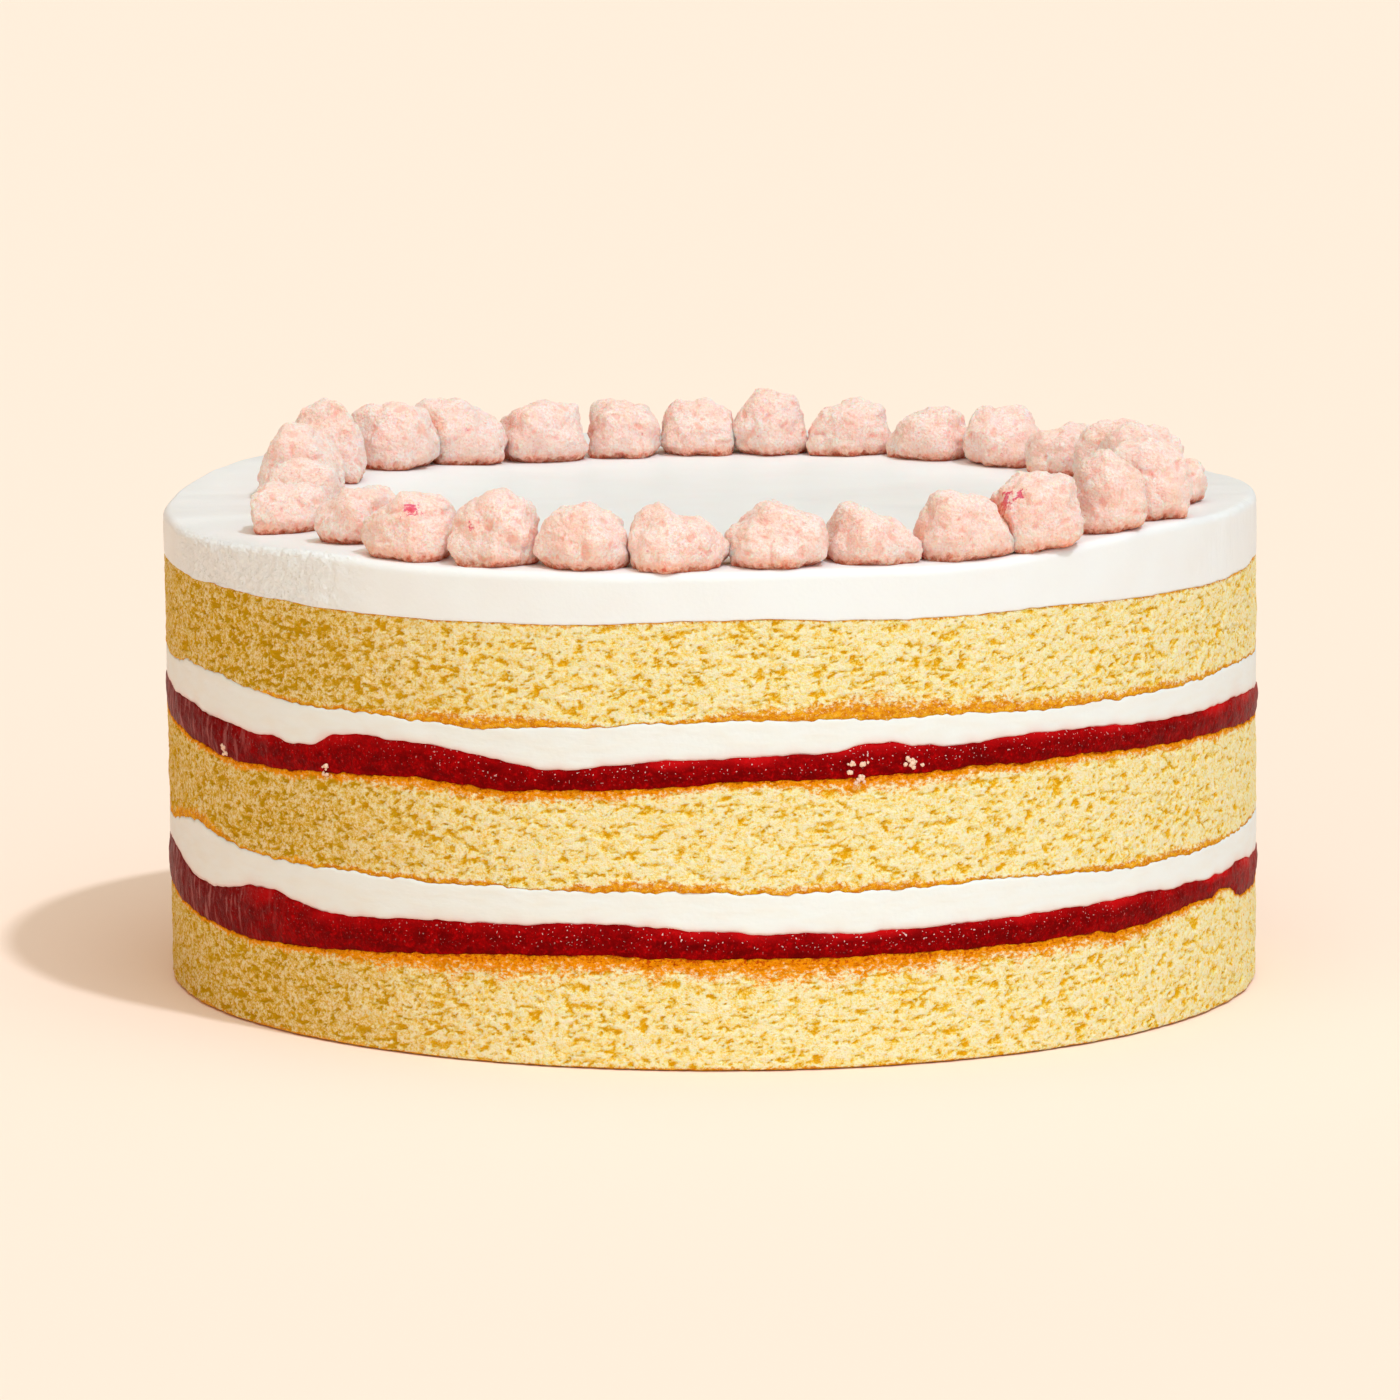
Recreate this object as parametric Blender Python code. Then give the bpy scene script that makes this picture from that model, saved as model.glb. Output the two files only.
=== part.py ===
"""Strawberry shortcake layer cake, 254 mm across, with bare sides and a ring of crumb clusters.

Blender 4.5, metres, +Z up. The origin is the middle of the flat foot of the cake, and -Y is
the front. Every azimuth is in degrees round +Z: 0 is the front, +90 the right (+X), -90 the left.
"""

import math
import random

import bmesh
import bpy
from mathutils import Vector, noise

MM = 0.001

# Driving dimensions of the stack.
CAKE_RADIUS = 127.0 * MM
FITTING_GAP = 0.3 * MM
SEGMENTS = 64

# The boundaries between the layers, from the foot up. Each has its mean height, the least
# thickness of the layer under it, and its swells: azimuth, half width in degrees, and rise,
# where a spoon or a spatula pushed the filling up (+) or down (-). All lengths are in mm.
BOUNDARIES = {
    "cake_1_top": (
        24.8,
        15.0,
        ((-56, 26, -5.0), (-14, 9, 0.6), (62, 9, 2.0), (77, 12, -1.8)),
    ),
    "jam_1_top": (
        30.6,
        3.5,
        (
            (-82, 9, 3.4),
            (-66, 6, -1.6),
            (-52, 8, 1.5),
            (-40, 6, -1.6),
            (-10, 9, 1.6),
            (12, 12, -0.7),
            (50, 18, 0.9),
        ),
    ),
    "cream_1_top": (39.0, 5.0, ((-68, 8, 3.2), (32, 7, 0.8), (54, 16, -1.1))),
    "cake_2_top": (63.8, 18.0, ((-54, 20, -4.6), (-17, 14, -3.0), (34, 15, 1.4), (82, 13, -1.6))),
    "jam_2_top": (
        69.0,
        3.5,
        (
            (-84, 12, 4.6),
            (-52, 16, -2.3),
            (-34, 7, 1.2),
            (-15, 8, -3.4),
            (2, 8, -0.5),
            (34, 22, 1.9),
            (70, 8, 0.9),
            (88, 8, -0.8),
        ),
    ),
    "cream_2_top": (
        76.7,
        4.5,
        ((-67, 9, 1.6), (-46, 8, -1.4), (-24, 16, -2.8), (38, 14, -0.6), (70, 8, 0.9)),
    ),
    "cake_3_top": (
        98.0,
        15.0,
        ((-80, 7, 1.0), (-30, 24, -1.2), (2, 10, 1.1), (36, 7, 0.5), (80, 7, 0.9)),
    ),
    "frosting_rim": (
        110.8,
        7.0,
        (
            (-120, 22, 3.4),
            (-79, 6, 0.8),
            (-44, 12, 1.7),
            (-20, 12, 0.5),
            (6, 10, 0.4),
            (27, 11, -0.8),
            (52, 14, 1.9),
            (76, 8, 0.4),
            (116, 26, -1.6),
        ),
    ),
}

# The frosting was spread a little downhill: its rim is lower at the left and at the front.
RIM_RISE_TO_RIGHT = 2.6 * MM
RIM_RISE_TO_BACK = 2.2 * MM

# Swells of the unseen back half, drawn for each boundary from its own seed.
BACK_SWELLS = 5
BACK_AZIMUTHS = (112.0, 248.0)
BACK_HALF_WIDTHS = (8.0, 20.0)
BACK_RISE = 1.5

# Side relief of the sponge, its rounded foot, and the soft edges of the creams.
CRAG_DEPTH = 0.45 * MM
CRAG_SIZE = 9.0 * MM
CREAM_WAVE = 0.25 * MM
EDGE_ROUNDING = 0.4 * MM
FOOT_ROUNDING = 1.5 * MM
RIM_ROUNDING = 1.8 * MM

# The ring of clusters lies a little forward and right of the middle of the cake.
RING_RADIUS = 100.0 * MM
RING_CENTRE = Vector((3.0 * MM, -17.0 * MM))

# One cluster per row: azimuth about the middle of the ring, how far outside the ring it lies,
# its width along the ring and its height in mm, and its outline as seen from outside the ring:
# the height of its left shoulder as a share of its own, where its summit lies across its
# width (-1 left end, +1 right end), and the height of its right shoulder.
CLUSTERS = (
    (-5.8, -0.5, 21.0, 13.6, 0.86, -0.50, 0.55),
    (6.8, -2.0, 22.5, 13.4, 0.66, 0.05, 0.72),
    (19.2, -3.0, 20.5, 13.2, 0.78, -0.45, 0.46),
    (31.5, -1.5, 21.5, 14.8, 0.94, -0.30, 0.74),
    (41.2, 3.0, 19.0, 17.2, 0.90, -0.05, 0.85),
    (53.3, 5.0, 16.0, 17.2, 0.80, 0.10, 0.75),
    (65.5, 4.0, 20.5, 18.0, 0.85, 0.10, 0.82),
    (82.0, 1.0, 18.0, 10.8, 0.75, 0.10, 0.60),
    (97.5, -2.5, 20.5, 16.2, 0.80, 0.00, 0.85),
    (111.5, -0.5, 19.0, 15.4, 0.80, -0.10, 0.80),
    (124.3, 0.0, 18.0, 12.6, 0.80, 0.10, 0.80),
    (136.6, 0.0, 18.5, 14.0, 0.70, 0.45, 0.95),
    (148.6, -4.5, 19.5, 13.4, 0.97, -0.50, 0.68),
    (161.5, -0.5, 20.5, 12.9, 0.80, 0.30, 0.87),
    (173.0, -0.5, 18.0, 16.2, 0.78, 0.10, 0.74),
    (182.8, -3.0, 20.5, 12.8, 0.74, -0.10, 0.92),
    (194.2, -3.0, 17.5, 13.4, 0.88, 0.30, 0.97),
    (205.6, -0.5, 21.0, 14.8, 0.88, 0.10, 0.97),
    (219.0, 2.0, 24.0, 16.4, 0.64, 0.00, 0.82),
    (230.0, 2.5, 20.5, 15.0, 0.85, 0.20, 0.88),
    (243.8, 4.0, 14.0, 19.6, 0.85, -0.35, 0.60),
    (256.5, 0.5, 24.0, 15.6, 0.85, 0.00, 0.85),
    (271.0, -3.5, 17.0, 11.6, 0.80, 0.00, 0.80),
    (286.0, 2.0, 18.5, 10.8, 0.75, 0.10, 0.85),
    (304.5, -2.0, 18.5, 13.0, 0.78, 0.10, 0.82),
    (319.0, 4.5, 20.0, 15.6, 0.76, 0.42, 0.80),
    (331.0, 2.0, 19.0, 15.0, 0.94, 0.05, 0.97),
    (342.3, 0.0, 20.0, 13.6, 0.90, -0.07, 0.76),
)
CLUSTER_DEPTHS = (17.0 * MM, 21.0 * MM)
CLUSTER_SEED = 41
CLUSTER_GAP = 0.5 * MM

# The form under a cluster's lumps: where its shoulders lie across it, the height of its widest
# girth as a share of its own, how steeply it turns under to its flat foot, and how square it
# is across (its plan) and upright (its section). 1 is round, and less is squarer.
SHOULDER = 0.72
GIRTH_HEIGHT = 0.30
FOOT_DROP = 0.46
PLAN_SQUARENESS = 0.70
SECTION_SQUARENESS = 0.75

# Lumps and smaller nubs that stand out of the form.
LUMP_SIZE = 8.5 * MM
LUMP_DEPTH = 1.7 * MM
NUB_SIZE = 4.2 * MM
NUB_DEPTH = 0.9 * MM

# Colour, roughness of each material.
FINISHES = {
    "sponge": ((0.89, 0.67, 0.24), 0.85),
    "jam": ((0.27, 0.005, 0.006), 0.2),
    "cream": ((0.94, 0.90, 0.80), 0.5),
    "cluster": ((0.95, 0.60, 0.49), 0.9),
}


def clear_scene():
    for leftover in list(bpy.data.objects):
        bpy.data.objects.remove(leftover)


def material(name):
    """The named finish as a Principled BSDF."""
    colour, roughness = FINISHES[name]
    made = bpy.data.materials.new(name)
    made.use_nodes = True
    shader = made.node_tree.nodes["Principled BSDF"]
    shader.inputs["Base Color"].default_value = (*colour, 1.0)
    shader.inputs["Roughness"].default_value = roughness
    return made


def degrees_apart(a, b):
    return (a - b + 180.0) % 360.0 - 180.0


def azimuth_of(x, y):
    return math.degrees(math.atan2(x, -y))


def back_swells(seed):
    """Gentle swells for the back half, drawn by rule from a seed."""
    draw = random.Random(seed)
    swells = []
    for _ in range(BACK_SWELLS):
        rise = draw.choice((-1, 1)) * draw.uniform(0.4, 1.0) * BACK_RISE
        swells.append((draw.uniform(*BACK_AZIMUTHS), draw.uniform(*BACK_HALF_WIDTHS), rise))
    return tuple(swells)


def build_boundaries():
    """The boundaries as a list of (mean height in m, least thickness in m, swells)."""
    built = []
    for seed, (mean, least, swells) in enumerate(BOUNDARIES.values(), start=1):
        built.append((mean * MM, least * MM, swells + back_swells(seed)))
    return built


def rim_height(boundaries, level, azimuth):
    """Height at the outside of boundary number level, never too near the boundary below it."""
    if level < 0:
        return 0.0
    mean, least, swells = boundaries[level]
    height = mean
    for centre, half_width, rise in swells:
        away = degrees_apart(azimuth, centre) / half_width
        height += rise * MM * math.exp(-away * away)
    if level == len(boundaries) - 1:
        turn = math.radians(azimuth)
        height += RIM_RISE_TO_RIGHT * math.sin(turn) - RIM_RISE_TO_BACK * math.cos(turn)
    return max(height, rim_height(boundaries, level - 1, azimuth) + least)


def boundary_height(boundaries, level, x, y):
    """Height of a boundary at a point: straight from the outside to the level middle."""
    if level < 0:
        return 0.0
    out = min(1.0, math.hypot(x, y) / CAKE_RADIUS)
    middle = boundaries[level][0]
    return middle + (rim_height(boundaries, level, azimuth_of(x, y)) - middle) * out


def frosting_top_height(boundaries, x, y):
    """Height of the spread top: nearly level inside the ring, and turning to the rim outside it."""
    out = min(1.0, math.hypot(x, y) / CAKE_RADIUS)
    level = len(boundaries) - 1
    middle = boundaries[level][0]
    return middle + (rim_height(boundaries, level, azimuth_of(x, y)) - middle) * out**1.5


def turned_blank(profile):
    """A closed body turned from (radius, share of height) points that run from axis to axis."""
    blank = bmesh.new()
    corners = [blank.verts.new((radius, 0.0, share)) for radius, share in profile]
    for lower, upper in zip(corners, corners[1:]):
        blank.edges.new((lower, upper))
    bmesh.ops.spin(
        blank,
        geom=blank.verts[:] + blank.edges[:],
        cent=(0, 0, 0),
        axis=(0, 0, 1),
        angle=math.tau,
        steps=SEGMENTS,
        use_merge=True,
    )
    bmesh.ops.remove_doubles(blank, verts=blank.verts, dist=1e-6)
    bmesh.ops.recalc_face_normals(blank, faces=blank.faces)
    return blank


def finish_object(name, blank, finish, collection):
    """Turns a bmesh into a named, smooth-shaded object of the collection."""
    mesh = bpy.data.meshes.new(name)
    bmesh.ops.triangulate(blank, faces=blank.faces)
    bmesh.ops.recalc_face_normals(blank, faces=blank.faces)
    blank.to_mesh(mesh)
    blank.free()
    mesh.materials.append(finish)
    mesh.shade_smooth()
    made = bpy.data.objects.new(name, mesh)
    collection.objects.link(made)
    return made


def side_profile(shares, radius, foot_inset, top_inset):
    """Axis, foot, side rows and top of a layer, as (radius, share of height) points."""
    last = len(shares) - 1
    insets = [foot_inset if i == 0 else top_inset if i == last else 0.0 for i in range(last + 1)]
    rows = [(radius - inset, share) for inset, share in zip(insets, shares)]
    return [(0.0, shares[0]), *rows, (0.0, shares[-1])]


def shape_layer(blank, boundaries, below, above, relief_depth, relief_size):
    """Carries a turned blank onto its two boundaries, and roughens its side."""
    foot_gap = FITTING_GAP / 2 if below >= 0 else 0.0
    for corner in blank.verts:
        x, y, share = corner.co
        foot = boundary_height(boundaries, below, x, y) + foot_gap
        top = boundary_height(boundaries, above, x, y) - FITTING_GAP / 2
        height = foot + (top - foot) * share
        radius = math.hypot(x, y)
        if radius > 0.5 * CAKE_RADIUS:
            here = Vector((x, y, height)) / relief_size
            grown = 1.0 + relief_depth * noise.noise(here) / radius
            x, y = x * grown, y * grown
        corner.co = (x, y, height)


def add_sponge(name, boundaries, below, above, finish, collection):
    """A baked layer with a cragged side. The lowest one rounds in to the foot."""
    lowest = below < 0
    shares = (0.0, 0.09, 0.36, 0.68, 1.0) if lowest else (0.0, 0.25, 0.5, 0.75, 1.0)
    foot_inset = FOOT_ROUNDING if lowest else EDGE_ROUNDING
    blank = turned_blank(side_profile(shares, CAKE_RADIUS, foot_inset, EDGE_ROUNDING))
    shape_layer(blank, boundaries, below, above, CRAG_DEPTH, CRAG_SIZE)
    return finish_object(name, blank, finish, collection)


def add_filling(name, boundaries, below, above, finish, collection):
    """A layer of jam or cream that runs through the cake, with soft edges at its side."""
    shares = (0.0, 0.5, 1.0)
    blank = turned_blank(side_profile(shares, CAKE_RADIUS, EDGE_ROUNDING, EDGE_ROUNDING))
    shape_layer(blank, boundaries, below, above, CREAM_WAVE, CRAG_SIZE)
    return finish_object(name, blank, finish, collection)


def add_frosting(name, boundaries, finish, collection):
    """The thick top disc: an upright side, a rounded rim, and a smoothly spread top."""
    level = len(boundaries) - 1
    turn_in = RIM_ROUNDING * (1.0 - math.sqrt(0.5))
    rings = (0.86, 0.66, 0.4)
    profile = [
        (0.0, 0.0),
        (CAKE_RADIUS - EDGE_ROUNDING, 0.0),
        (CAKE_RADIUS, 0.2),
        (CAKE_RADIUS, 0.84),
        (CAKE_RADIUS - turn_in, 0.955),
        (CAKE_RADIUS - RIM_ROUNDING, 1.0),
        *((CAKE_RADIUS * ring, 1.0) for ring in rings),
        (0.0, 1.0),
    ]
    blank = turned_blank(profile)
    for corner in blank.verts:
        x, y, share = corner.co
        foot = boundary_height(boundaries, level - 1, x, y) + FITTING_GAP / 2
        top = frosting_top_height(boundaries, x, y)
        height = foot + (top - foot) * share
        radius = math.hypot(x, y)
        if share < 0.9 and radius > 0.5 * CAKE_RADIUS:
            here = Vector((x, y, height)) / CRAG_SIZE
            grown = 1.0 + CREAM_WAVE * noise.noise(here) / radius
            x, y = x * grown, y * grown
        corner.co = (x, y, height)
    return finish_object(name, blank, finish, collection)


def outline_height(across, left, summit, right):
    """Height of a cluster's outline at a place across it, from -1 to 1, as a share of its own."""
    stops = (
        (-1.0, GIRTH_HEIGHT),
        (-SHOULDER, left),
        (summit, 1.0),
        (SHOULDER, right),
        (1.0, GIRTH_HEIGHT),
    )
    for (start, low), (end, high) in zip(stops, stops[1:]):
        if across <= end:
            return low + (high - low) * (across - start) / (end - start)
    return GIRTH_HEIGHT


def squarer(value, squareness):
    return math.copysign(abs(value) ** squareness, value)


def cluster_form(direction, width, depth, height, outline):
    """A point of the form under a cluster's lumps, for a direction from its middle."""
    across, in_out, up = direction
    girdle = max(math.sqrt(max(0.0, 1.0 - across * across)), 1e-6)
    in_out = squarer(in_out / girdle, SECTION_SQUARENESS) * girdle**PLAN_SQUARENESS
    up = squarer(up / girdle, SECTION_SQUARENESS)
    rise = outline_height(across, *outline) - GIRTH_HEIGHT if up > 0 else FOOT_DROP
    return Vector((across * width / 2, in_out * depth / 2, (GIRTH_HEIGHT + rise * up) * height))


def lumps_at(here, seed_shift):
    """How far the surface stands out at a point, from large lumps and small nubs."""
    large = noise.noise(here / LUMP_SIZE + seed_shift)
    small = noise.noise(here / NUB_SIZE + seed_shift)
    return LUMP_DEPTH * large + NUB_DEPTH * small


def neighbour_limits(index):
    """The two azimuths between which a cluster has to stay clear of its neighbours."""
    here = CLUSTERS[index][0]
    before = CLUSTERS[index - 1][0]
    after = CLUSTERS[(index + 1) % len(CLUSTERS)][0]
    return degrees_apart(before, here) / 2, degrees_apart(after, here) / 2


def add_cluster(index, boundaries, draw, finish, collection):
    """A clump of crumbs pressed together: an icosphere pulled to its outline, then lumped."""
    azimuth, outside, width, height, *outline = CLUSTERS[index]
    depth = draw.uniform(*CLUSTER_DEPTHS)
    out = RING_RADIUS + outside * MM
    seed_shift = Vector((draw.uniform(0, 90), draw.uniform(0, 90), draw.uniform(0, 90)))
    low_limit, high_limit = neighbour_limits(index)
    clear = CLUSTER_GAP / 2
    turn = math.radians(azimuth)
    outward = Vector((math.sin(turn), -math.cos(turn)))
    along = Vector((math.cos(turn), math.sin(turn)))

    blank = bmesh.new()
    bmesh.ops.create_icosphere(blank, subdivisions=3, radius=1.0)
    for corner in blank.verts:
        direction = corner.co.normalized()
        form = cluster_form(direction, width * MM, depth, height * MM, outline)
        form += direction * lumps_at(form, seed_shift)
        reach = out + form.y
        low = reach * math.tan(math.radians(low_limit)) + clear
        high = reach * math.tan(math.radians(high_limit)) - clear
        across = min(max(form.x, low), high)
        place = RING_CENTRE + outward * reach + along * across
        under = frosting_top_height(boundaries, place.x, place.y) + FITTING_GAP
        corner.co = (place.x, place.y, under + max(form.z, 0.0))
    return finish_object(f"cluster_{index + 1:02d}", blank, finish, collection)


def main():
    clear_scene()
    collection = bpy.data.collections.new("strawberry_shortcake")
    bpy.context.scene.collection.children.link(collection)
    finishes = {name: material(name) for name in FINISHES}
    boundaries = build_boundaries()

    stack = (
        ("cake_layer_1", add_sponge, "sponge"),
        ("jam_layer_1", add_filling, "jam"),
        ("cream_layer_1", add_filling, "cream"),
        ("cake_layer_2", add_sponge, "sponge"),
        ("jam_layer_2", add_filling, "jam"),
        ("cream_layer_2", add_filling, "cream"),
        ("cake_layer_3", add_sponge, "sponge"),
    )
    for level, (name, add, finish) in enumerate(stack):
        add(name, boundaries, level - 1, level, finishes[finish], collection)
    add_frosting("frosting_top", boundaries, finishes["cream"], collection)

    draw = random.Random(CLUSTER_SEED)
    for index in range(len(CLUSTERS)):
        add_cluster(index, boundaries, draw, finishes["cluster"], collection)


main()
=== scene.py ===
import math
import random

import bmesh
import bpy
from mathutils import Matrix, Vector, noise
from mathutils.bvhtree import BVHTree


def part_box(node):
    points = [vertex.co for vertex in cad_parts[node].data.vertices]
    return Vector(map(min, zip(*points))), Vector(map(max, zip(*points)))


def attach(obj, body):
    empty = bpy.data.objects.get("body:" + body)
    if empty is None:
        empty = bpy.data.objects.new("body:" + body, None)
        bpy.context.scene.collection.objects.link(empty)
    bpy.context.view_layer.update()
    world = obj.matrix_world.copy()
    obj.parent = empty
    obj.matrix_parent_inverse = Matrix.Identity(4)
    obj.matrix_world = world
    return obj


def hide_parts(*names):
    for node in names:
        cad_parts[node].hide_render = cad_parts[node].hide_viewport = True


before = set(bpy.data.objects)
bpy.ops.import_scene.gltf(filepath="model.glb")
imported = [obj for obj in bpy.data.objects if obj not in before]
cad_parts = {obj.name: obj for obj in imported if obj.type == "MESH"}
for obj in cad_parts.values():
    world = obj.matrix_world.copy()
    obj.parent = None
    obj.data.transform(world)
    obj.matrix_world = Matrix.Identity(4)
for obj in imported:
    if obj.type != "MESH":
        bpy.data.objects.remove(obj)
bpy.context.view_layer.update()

# A strawberry shortcake, dressed from the foot up: three sponges, the jam and cream between
# them, the frosting on top and its ring of crumb clusters. Metres, +Z up. An azimuth is in
# degrees: 0 is the front of the cake (-Y), +90 its right side (+X), -90 its left.
MM = 0.001


# ---------------------------------------------------------------------------------------
# The sponges. Each is a round of baked butter cake, trimmed at its side so that the open
# crumb shows: pores and short cracks between pale crumbs. Baking browned its underside, and
# the jam laid on it has soaked in a little. Its own weight beds it on the cream below.

CAKE_RADIUS = 127.0 * MM
SIDE_RADIUS = 126.5 * MM
SEGMENTS = 1440
SPONGE_ROWS = 60
FOOT_ROUNDING = 1.5 * MM
EDGE_ROUNDING = 0.10 * MM

# The ring inside a layer's edge, and where its side begins, as shares of the side's radius;
# the share of the foot's inset that the row over it keeps; and how near two points are one.
INNER_RING = 0.94
SIDE_BEGINS = 0.97
SECOND_ROW_INSET = 0.25
SAME_POINT = 1e-7

# The lowest layers have crept a little to the right of the frosting.
CREEP = 1.1 * MM
CREEP_HEIGHT = 105.0 * MM

# The noise of vectors, in which the pores wander, starts from the clock unless it has a seed.
PORE_SEED = 7

# Where a solid's faces are sounded for the heights of its rim: how many times round, at what
# shares of the cake's radius, and how many degrees off the solid's own edges.
SOUNDINGS = 64
NEAR_RIM = 0.9
NEAR_AXIS = 0.02
OFF_THE_EDGES = 0.01

# What keeps the waves of one edge unlike another's, and how much of a span round the side is
# whole before it fades.
EDGES_APART = 7.3
SPAN_CORE = 0.4

# The crumb: how wide its swells, its crumbs, its pores and its cracks are, and how far they
# stand out or go in. The mesh carries what is about a millimetre wide or more, and the
# material the rest. Pores crowd in some places and thin out in others. The last three numbers
# are how fast a pattern's finer waves fade, how much finer each is, and how many there are.
CRUMB_SWELL_SIZE = 9.0 * MM
CRUMB_SWELL = 0.26 * MM
CRUMB_SIZE = 2.6 * MM
CRUMB_RISE = 0.22 * MM
PORE_SIZE = 2.1 * MM
CRACK_SIZE = 4.2 * MM
PORE_DEPTH = 0.50 * MM
FLATTENED = 1.45
PORE_WANDER = 0.7 * MM
PORE_WANDER_SIZE = 2.0 * MM
PORE_START = 0.30
PORE_SPAN = 0.30
CROWDING = 0.14
CROWDED_SIZE = 11.0 * MM
CRACK_SPAN = (0.34, 0.60)
CRACK_FLATTENED = 3.2
CRACK_SHARE = 0.8
PORE_FRACTAL = (0.8, 2.2, 3)

# The browned underside, the thin skin on top and the jam's soaking: how thick each one shows
# at the side, in millimetres, by azimuth. Each fades by half over its thickness, which is
# uneven from place to place. The skin on top is weaker, and pores are shallow under a crust.
CRUST_FADE = 0.5
UNEVEN = 0.5
UNEVEN_SIZE = 4.0 * MM
SKIN_SHARE = 0.85
CRUST_CLOSES = 0.7
BROWNED = {
    "cake_layer_1": ((-60, 0.9), (-20, 0.5), (0, 0.8), (40, 0.5), (120, 0.9), (-140, 0.6)),
    "cake_layer_2": (
        (-80, 2.0), (-68, 2.3), (-61, 1.7), (-57, 0.5), (-50, 0.6), (-47, 1.5), (-43, 0.8),
        (-35, 1.2), (-24, 1.3), (-21, 0.3), (-16, 0.3), (-13, 1.6), (-8, 2.3), (-3, 1.9),
        (3, 1.2), (10, 1.5), (17, 1.7), (25, 1.3), (31, 0.5), (38, 0.9), (43, 1.5), (52, 1.7),
        (61, 1.6), (68, 0.7), (90, 0.6), (115, 1.8), (140, 0.8), (170, 1.7), (-150, 1.2),
        (-115, 0.7),
    ),
    "cake_layer_3": (
        (-75, 0.3), (-55, 0.2), (-48, 0.9), (-38, 0.7), (-33, 1.5), (-27, 2.6), (-18, 2.4),
        (-13, 1.1), (-10, 0.3), (-6, 0.5), (-1, 1.3), (3, 2.1), (9, 2.8), (14, 4.2), (17, 4.4),
        (21, 3.4), (28, 2.6), (36, 2.2), (44, 1.8), (52, 1.5), (62, 1.2), (72, 0.6), (95, 1.6),
        (130, 2.6), (160, 1.0), (-165, 2.0), (-130, 2.6), (-100, 0.8),
    ),
}
SKIN = {"cake_layer_3": ((-60, 0.2), (-35, 0.5), (-15, 0.6), (20, 0.4), (50, 0.6), (150, 0.5))}
SOAKED = {
    "cake_layer_1": (
        (-80, 0.6), (-62, 0.8), (-48, 1.2), (-38, 1.7), (-33, 2.7), (-26, 3.7), (-17, 3.4),
        (-8, 3.2), (0, 3.6), (8, 4.0), (16, 3.4), (25, 2.8), (35, 2.4), (45, 2.2), (52, 1.5),
        (60, 0.9), (80, 0.7), (110, 2.6), (150, 3.4), (-160, 1.6), (-120, 2.8),
    ),
    "cake_layer_2": (
        (-80, 0.7), (-66, 1.0), (-55, 1.2), (-40, 1.4), (-28, 1.8), (-15, 2.0), (0, 1.2),
        (8, 1.7), (12, 2.6), (17, 2.7), (24, 1.9), (33, 1.7), (45, 1.4), (60, 1.1), (80, 0.8),
        (120, 1.6), (160, 2.2), (-150, 1.2), (-110, 1.8),
    ),
}

# Painted shade on the side away from the light: middle and half width, as azimuths.
SHADED_SIDE = (-76.0, 62.0)

CRUMB_PALE = (1.000, 0.880, 0.600)
CRUMB_LIGHT = (1.000, 0.830, 0.440)
CRUMB_YELLOW = (1.000, 0.760, 0.270)
CRUMB_GOLD = (0.990, 0.640, 0.090)
# Painted shade: the deep gold that the crumb is darkened to on the side away from the light.
CRUMB_PAINTED_SHADE = (0.640, 0.340, 0.002)
PORE_OCHRE = (0.860, 0.430, 0.004)
CRUST_BROWN = (0.720, 0.225, 0.004)
CRUST_GOLD = (0.950, 0.440, 0.018)
CREAM_FLECK = (0.930, 0.860, 0.720)
SOAKED_ORANGE = (0.920, 0.310, 0.001)
SOAKED_RED = (0.560, 0.070, 0.002)

# The colours that follow the palest from the proud crumbs down into the pores, partly the
# crumb's own gold and partly painted shade in the pores, and the two depths between which
# each one comes in.
CRUMB_COLOURS = (
    (-0.12, 0.12, CRUMB_LIGHT),
    (0.12, 0.28, CRUMB_YELLOW),
    (0.28, 0.54, CRUMB_GOLD),
    (0.48, 0.78, PORE_OCHRE),
)


def solid_tree(node):
    """A tree of a solid's faces that rays can be cast at."""
    solid = bmesh.new()
    solid.from_mesh(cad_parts[node].data)
    tree = BVHTree.FromBMesh(solid)
    solid.free()
    return tree


def sounding(tree, azimuth, out, upper):
    """Height of a solid's upper or lower face, a share of the radius out from the axis."""
    turn = math.radians(azimuth + OFF_THE_EDGES)
    side = 1.0 if upper else -1.0
    reach = CAKE_RADIUS * out
    start = Vector((math.sin(turn) * reach, -math.cos(turn) * reach, side))
    return tree.ray_cast(start, Vector((0.0, 0.0, -side)))[0].z


def rim_soundings(node, upper, power=1.0, near_rim=NEAR_RIM):
    """A face's height at the axis, and at its rim for even azimuths all round."""
    tree = solid_tree(node)
    middle = sounding(tree, 0.0, NEAR_AXIS, upper)
    rims = []
    for step in range(SOUNDINGS):
        height = sounding(tree, 360.0 * step / SOUNDINGS, near_rim, upper)
        rims.append(middle + (height - middle) / near_rim**power)
    return middle, rims


def smooth_round(heights, azimuth):
    """A smooth closed curve through heights that stand at even azimuths."""
    place = azimuth % 360.0 / 360.0 * len(heights)
    first = int(place)
    t = place - first
    a, b, c, d = (heights[(first + step) % len(heights)] for step in (-1, 0, 1, 2))
    return b + 0.5 * t * (c - a + t * (2 * a - 5 * b + 4 * c - d + t * (3 * (b - c) + d - a)))


def round_the_side(points, azimuth):
    """A value between those set at some azimuths, all the way round."""
    turns = sorted((place % 360.0, value) for place, value in points)
    turns = [(turns[-1][0] - 360.0, turns[-1][1]), *turns, (turns[0][0] + 360.0, turns[0][1])]
    azimuth %= 360.0
    for (start, first), (end, last) in zip(turns, turns[1:]):
        if start <= azimuth <= end:
            return first + (last - first) * ease(start, end, azimuth)


def within(azimuth, span):
    """1 at the middle of a span of azimuths (middle, half width), fading to 0 at its ends."""
    away = abs((azimuth - span[0] + 180.0) % 360.0 - 180.0) / span[1]
    return 1.0 - ease(SPAN_CORE, 1.0, away)


def azimuth_of(x, y):
    """The azimuth of a place on the ground."""
    return math.degrees(math.atan2(x, -y))


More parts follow.
